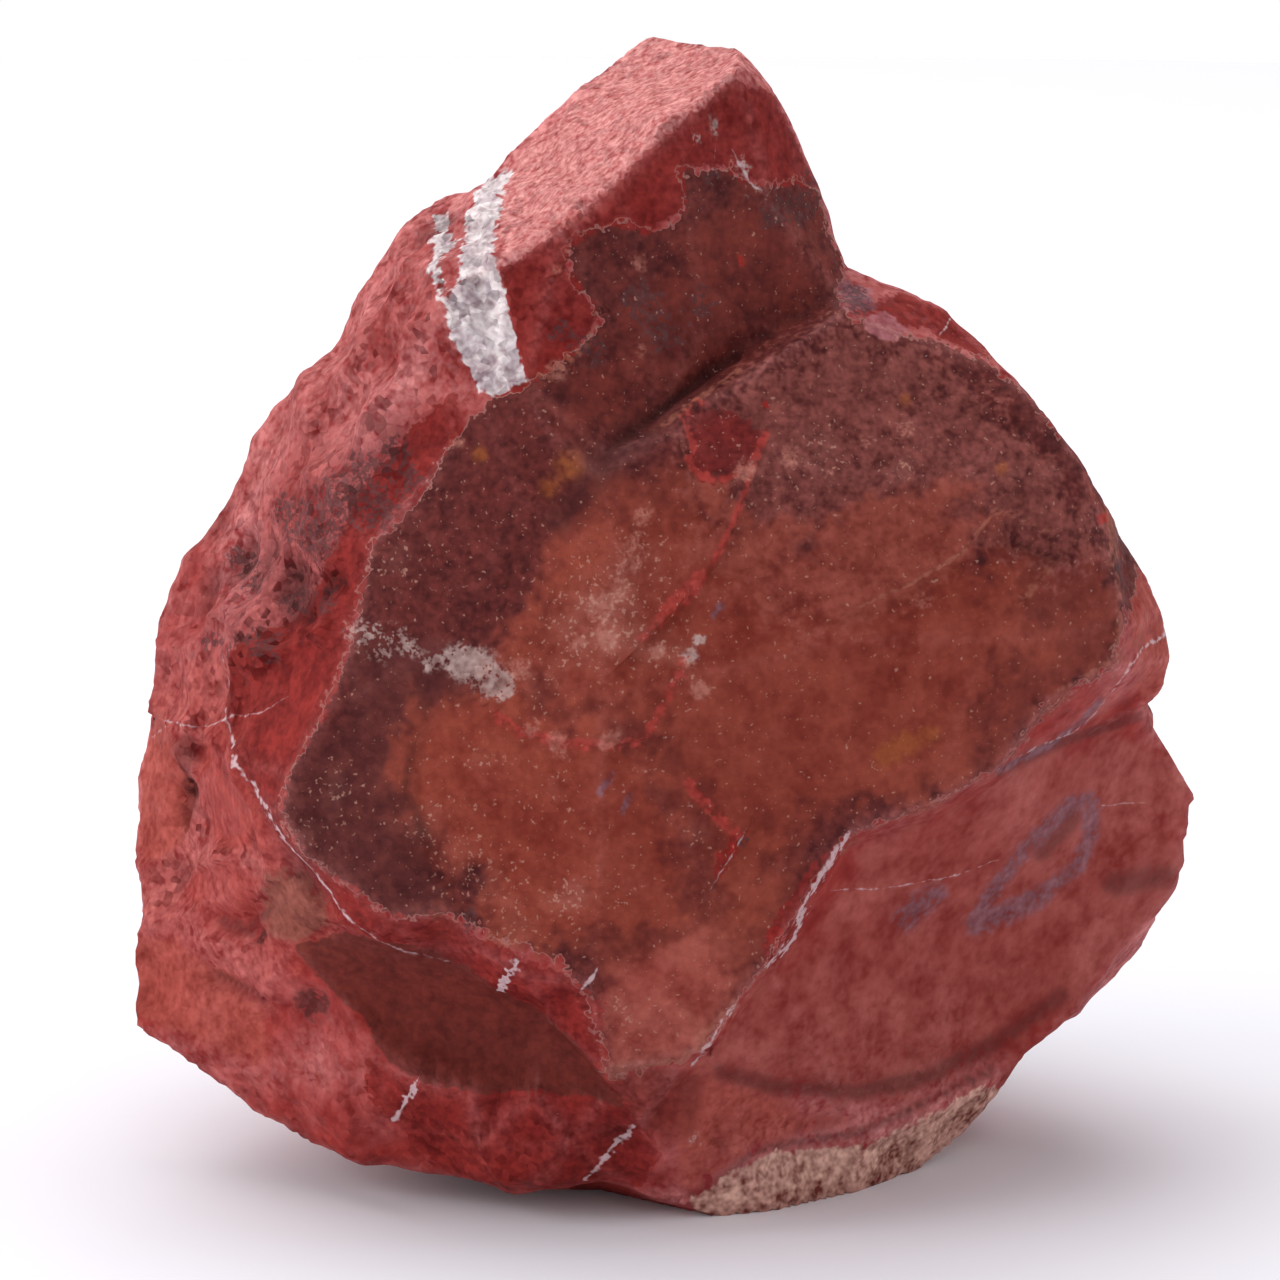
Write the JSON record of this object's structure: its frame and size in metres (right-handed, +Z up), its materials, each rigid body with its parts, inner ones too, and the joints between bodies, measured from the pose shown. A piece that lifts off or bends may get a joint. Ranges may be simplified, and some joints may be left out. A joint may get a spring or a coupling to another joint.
{
  "type": "raw red jasper stone",
  "caption": "Hand-size piece of rough red jasper, broken on all sides, with a tall crown, a broad dark plate in front and a small flat spot underneath.",
  "frame": {"origin": "on the surface that the stone rests on, under the middle of its bounding box", "axes": "+Z up, to the top of the crown; -Y towards the front, where the broad plate is; +X to the viewer's right of the front"},
  "size_m": [0.0742, 0.0521, 0.078],
  "materials": {
    "red_jasper": "Rough broken red jasper: a dark iron-stained skin on the plate, matte red fractures elsewhere, thin white quartz veins and a tan crust low in front."
  },
  "bodies": {
    "root": {"red_jasper": "red_jasper"}
  },
  "joints": []
}
